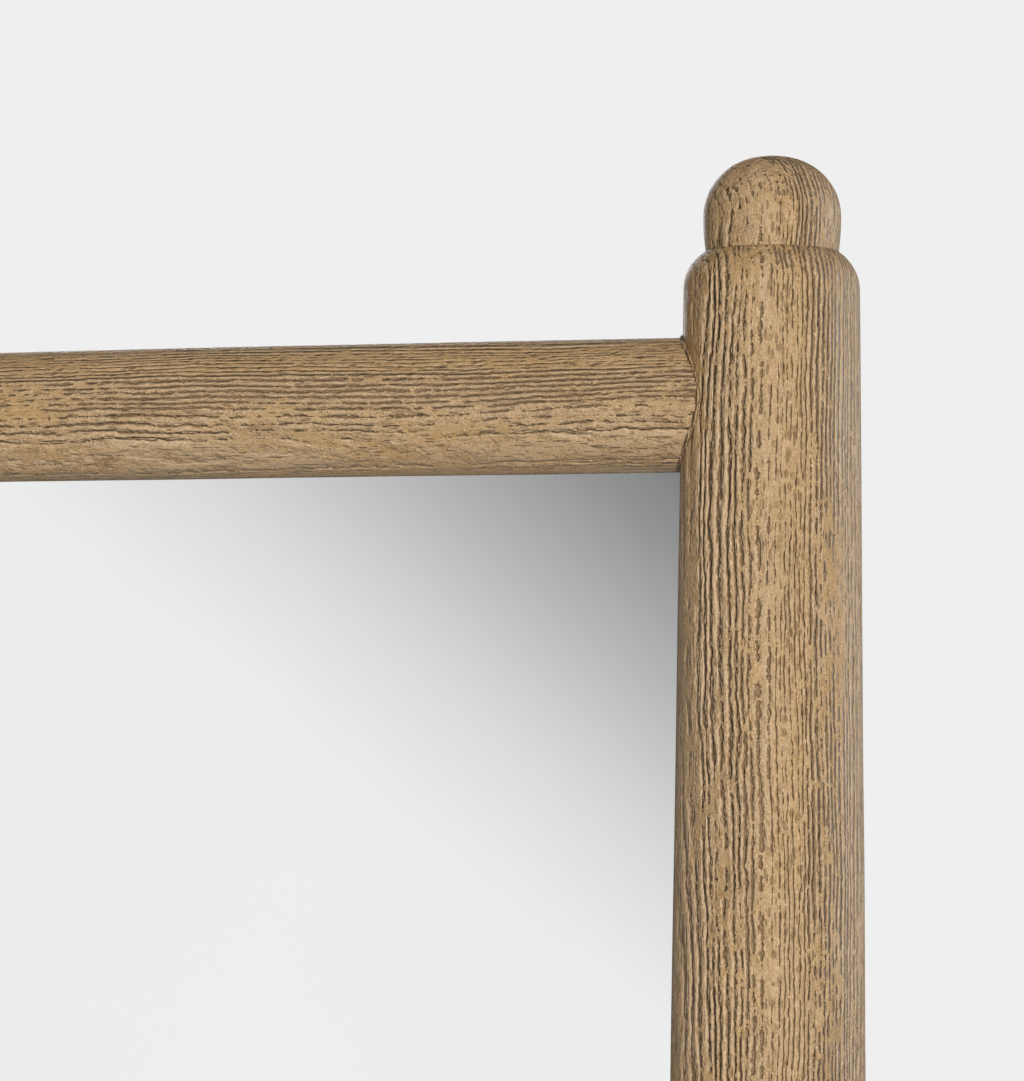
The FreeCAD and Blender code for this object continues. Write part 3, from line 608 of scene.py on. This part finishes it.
for side, sign in (("left", -1), ("right", 1)):
    at = middle(f"upright_{side}")
    face = (sign * 0.4, -0.9, 0)
    foot_z = middle(f"foot_{side}").z
    joint_grime_and_shade = (((at.x, 0, foot_z + 0.028), 0.03), ((at.x, 0, middle("stretcher").z), 0.028))
    wood = oak(f"oak_upright_{side}", at, (0, 0, 1), face, 80 * sign, 0.02, joint_grime_and_shade, 31 + sign)
    dress(f"upright_{side}", wood)
    top = middle(f"upright_finial_{side}")
    wood = oak(f"oak_upright_finial_{side}", top, (0, 0, 1), face, 60, 0, (), 35 + sign)
    dress(f"upright_finial_{side}", wood)
    foot = middle(f"foot_{side}")
    across = (sign, 0, 0.5)
    wood = oak(f"oak_foot_{side}", foot, (0, 1, 0), across, 90, 0.02, joint_grime_and_shade[:1], 41 + sign)
    dress(f"foot_{side}", wood)
    for end in ("front", "back"):
        bun = middle(f"bun_foot_{end}_{side}")
        wood = oak(f"oak_bun_{end}_{side}", bun, (0, 0, 1), face, 50, 0.03, (), 51 + sign)
        dress(f"bun_foot_{end}_{side}", wood)
for side, sign in (("left", -1), ("right", 1)):
    at = middle(f"knob_{side}")
    wood = oak(f"oak_knob_{side}", at, (sign, 0, 0), (0, -0.7, 0.7), 45, 0.03, (), 71 + sign)
    dress(f"knob_{side}", wood)
at = middle("stretcher")
joint_grime_and_shade = (((0.3, 0, at.z), 0.02), ((-0.3, 0, at.z), 0.02))
dress("stretcher", oak("oak_stretcher", at, (1, 0, 0), (0, -0.6, 0.8), 75, 0.0, joint_grime_and_shade, 61))


def bead_finish(name, node, grain):
    return oak(name, middle(node), grain, (0.2, 1, 0.2), 60, 0.10, (), len(name))


for end in ("left", "right"):
    dress(f"glazing_bead_{end}", bead_finish(f"oak_bead_{end}", f"glazing_bead_{end}", (0, 0, 1)))
for end in ("top", "bottom"):
    dress(f"glazing_bead_{end}", bead_finish(f"oak_bead_{end}", f"glazing_bead_{end}", (1, 0, 0)))


def metal(name, bright, dull, rough, brushed, distance=0.03):
    """A worn metal: fine turning marks and duller film in patches."""
    made, t, shader, at = material(name, metallic=1.0)
    film = t.noise(t.stretch(at, 0.006, 0.006, 0.006), 4.0, 0.65)
    marks = t.noise(t.stretch(at, *brushed), 3.0, 0.6)
    t.feed(shader.inputs["Base Color"], t.mix(t.step(film, 0.38, 0.68), bright, dull))
    t.feed(shader.inputs["Roughness"], t.madd(marks, 0.16, t.madd(film, 0.24, rough)))
    bump(t, shader, t.madd(marks, 0.8, t.mul(film, 0.2)), distance * MM)
    return made


BRASS = metal("aged_brass", srgb(192, 152, 88), srgb(132, 100, 58), 0.18, (0.0004, 0.004, 0.004))
STEEL = metal("zinc_steel", srgb(170, 172, 174), srgb(120, 121, 122), 0.22, (0.0005, 0.003, 0.003))


def plain(name, base, other, rough, grain, distance, fine=0.0005):
    """A matt solid with mottled colour and a fine surface."""
    made, t, shader, at = material(name, specular=0.3)
    mottle = t.noise(t.stretch(at, grain, grain, grain), 4.0, 0.6)
    tooth = t.noise(t.stretch(at, fine, fine, fine), 3.0, 0.7)
    t.feed(shader.inputs["Base Color"], t.mix(t.step(mottle, 0.35, 0.65), base, other))
    t.feed(shader.inputs["Roughness"], t.madd(tooth, 0.2, rough))
    bump(t, shader, t.madd(tooth, 0.7, t.mul(mottle, 0.3)), distance * MM)
    return made


RUBBER = plain("black_rubber", srgb(38, 37, 36), srgb(52, 50, 48), 0.6, 0.004, 0.05)
FIBRE = plain("red_fibre", srgb(120, 58, 44), srgb(98, 48, 38), 0.5, 0.003, 0.04)
FELT = plain("grey_felt", srgb(104, 98, 90), srgb(80, 75, 69), 0.8, 0.0012, 0.25, 0.0003)
BOARD = plain("hardboard", srgb(122, 92, 64), srgb(104, 78, 54), 0.55, 0.0016, 0.10)


def mirror_finish():
    """Silvered glass: clean reflection, its silver a little uneven."""
    made, t, shader, at = material("silvered_glass", metallic=1.0)
    film = t.noise(t.stretch(at, 0.15, 0.15, 0.15), 3.0, 0.5)
    silver = t.mix(t.step(film, 0.3, 0.7), (0.985, 0.99, 0.99, 1), (0.965, 0.975, 0.97, 1))
    t.feed(shader.inputs["Base Color"], silver)
    shader.inputs["Roughness"].default_value = 0.0
    return made


dress("mirror_glass", mirror_finish())
dress("backing_board", BOARD)
FINISHES = {
    "rubber": RUBBER,
    "brass": BRASS,
    "steel": STEEL,
    "vulcanised_fibre": FIBRE,
    "felt": FELT,
}
for part in frame["record"]["subparts"]:
    finish = FINISHES.get(part["material_slot"])
    if finish:
        dress(part["node"], finish)

# ---------------------------------------------------------------- studio

PALE = srgb(239, 239, 239)
FLOOR_RADIUS = 2.2
STATION, YAW, PITCH, ROLL = (0.532, -1.2223, 1.5862), *(math.radians(v) for v in (15.271, 4.231, 0.521))
FOCAL, FRAME_HEIGHT = 4676.0, 1081


def camera_axes():
    """(right, up, ahead) of the camera."""
    ahead = Vector((-math.sin(YAW) * math.cos(PITCH), math.cos(YAW) * math.cos(PITCH), math.sin(PITCH)))
    right = Vector((math.cos(YAW), math.sin(YAW), 0))
    up = right.cross(ahead)
    return math.cos(ROLL) * right + math.sin(ROLL) * up, math.cos(ROLL) * up - math.sin(ROLL) * right, ahead


def floor():
    """A pale floor that fades into the backdrop away from the object."""
    made, t, shader, at = material("studio_floor", specular=0.2)
    x, y, z = t.split(at)
    away = t.math("SQRT", t.add(t.mul(x, x), t.mul(y, y)))
    paper = t.noise(t.stretch(at, 0.6, 0.6, 0.6), 3.0)
    t.feed(shader.inputs["Base Color"], t.mix(paper, srgb(240, 240, 239), srgb(245, 245, 244)))
    shader.inputs["Roughness"].default_value = 0.9
    t.feed(shader.inputs["Alpha"], t.step(away, 0.35, FLOOR_RADIUS, 0.5, 0.0))
    mesh = bpy.data.meshes.new("floor")
    turns = [2 * math.pi * i / 64 for i in range(64)]
    rim = [(FLOOR_RADIUS * math.cos(v), FLOOR_RADIUS * math.sin(v), 0) for v in turns]
    mesh.from_pydata(rim, [], [list(range(64))])
    mesh.materials.append(made)
    ground = bpy.data.objects.new("floor", mesh)
    SCENE.collection.objects.link(ground)


floor()


def studio_world():
    """Pale backdrop for the eye, a dim surround for the light, and grey shading seen only in the mirror.

    The shading stands in for the room that the photo's mirror reflects. Nothing modelled is behind it.
    """
    world = bpy.data.worlds.new("studio")
    SCENE.world = world
    world.use_nodes = True
    world.node_tree.nodes.clear()
    t = Tree(world.node_tree)
    direction = t.node("ShaderNodeTexCoord").outputs["Generated"]
    x, y, z = t.split(direction)

    def along(axis):
        made = t.node("ShaderNodeVectorMath", operation="DOT_PRODUCT")
        t.feed(made.inputs[0], direction)
        made.inputs[1].default_value = (axis.x, -axis.y, axis.z)
        return made.outputs["Value"]

    # the room falls off towards an upper corner, as the mirror sees it
    right, up, ahead = (along(axis) for axis in camera_axes())
    slope = t.math("DIVIDE", t.madd(up, 1.2, right), t.math("MAXIMUM", ahead, 0.2))
    room = t.node("ShaderNodeValToRGB")
    stops = ((0.0, 128), (0.045, 137), (0.13, 148), (0.27, 169), (0.41, 188), (0.55, 206))
    stops += ((0.68, 220), (0.83, 231), (0.92, 237), (1.0, 239))
    ramp = room.color_ramp.elements
    while len(ramp) < len(stops):
        ramp.new(0.5)
    for stop, (place, grey) in zip(ramp, stops):
        stop.position, stop.color = place, srgb(grey, grey, grey)
    t.feed(room.inputs[0], t.madd(slope, -FOCAL / 720, 249.2 / 720))
    around_it = t.step(ahead, math.cos(math.radians(16)), math.cos(math.radians(9)))
    seen = t.mix(around_it, PALE, room.outputs["Color"])
    light = t.madd(x, 0.02, t.madd(t.math("MAXIMUM", z, 0.0), 0.09, 0.05))
    path = t.node("ShaderNodeLightPath")
    light = t.mix(path.outputs["Is Camera Ray"], t.join(light, light, light), PALE)
    back = t.node("ShaderNodeBackground")
    first_bounce = t.math("LESS_THAN", path.outputs["Ray Depth"], 2.5)
    t.feed(back.inputs["Color"], t.mix(t.mul(path.outputs["Is Singular Ray"], first_bounce), light, seen))
    out = t.node("ShaderNodeOutputWorld")
    t.feed(out.inputs["Surface"], back.outputs[0])


studio_world()


def softbox(name, at, target, width, height, power, spread=180):
    lamp = bpy.data.lights.new(name, "AREA")
    lamp.shape, lamp.size, lamp.size_y = "RECTANGLE", width, height
    lamp.energy, lamp.spread = power, math.radians(spread)
    box = bpy.data.objects.new(name, lamp)
    box.location = at
    box.rotation_euler = (Vector(target) - Vector(at)).to_track_quat("-Z", "Y").to_euler()
    box.visible_camera = False
    SCENE.collection.objects.link(box)


softbox("key", (1.4, -3.1, 1.75), (0.1, 0, 1.35), 1.2, 1.1, 28, 80)
softbox("back_right", (3.6, 3.9, 2.4), (0, 0, 1.2), 2.0, 2.0, 105)
softbox("back_left", (-1.4, 3.9, 2.6), (0, 0, 1.0), 1.8, 1.8, 90)
softbox("overhead", (-0.4, -0.2, 4.6), (0, 0, 0), 2.2, 2.2, 5)

SCENE.view_settings.view_transform = "Standard"

# ---------------------------------------------------------------- camera


def camera():
    """The photograph's station: close below the top right corner, looking up and to the left."""
    data = bpy.data.cameras.new("camera")
    data.sensor_fit, data.sensor_width = "AUTO", 36.0
    data.lens = FOCAL * data.sensor_width / FRAME_HEIGHT
    data.clip_start, data.clip_end = 0.05, 200.0
    eye = bpy.data.objects.new("camera", data)
    right, up, ahead = camera_axes()
    turn = Matrix((right, up, -ahead)).transposed().to_4x4()
    eye.matrix_world = Matrix.Translation(STATION) @ turn
    SCENE.collection.objects.link(eye)
    SCENE.camera = eye


camera()
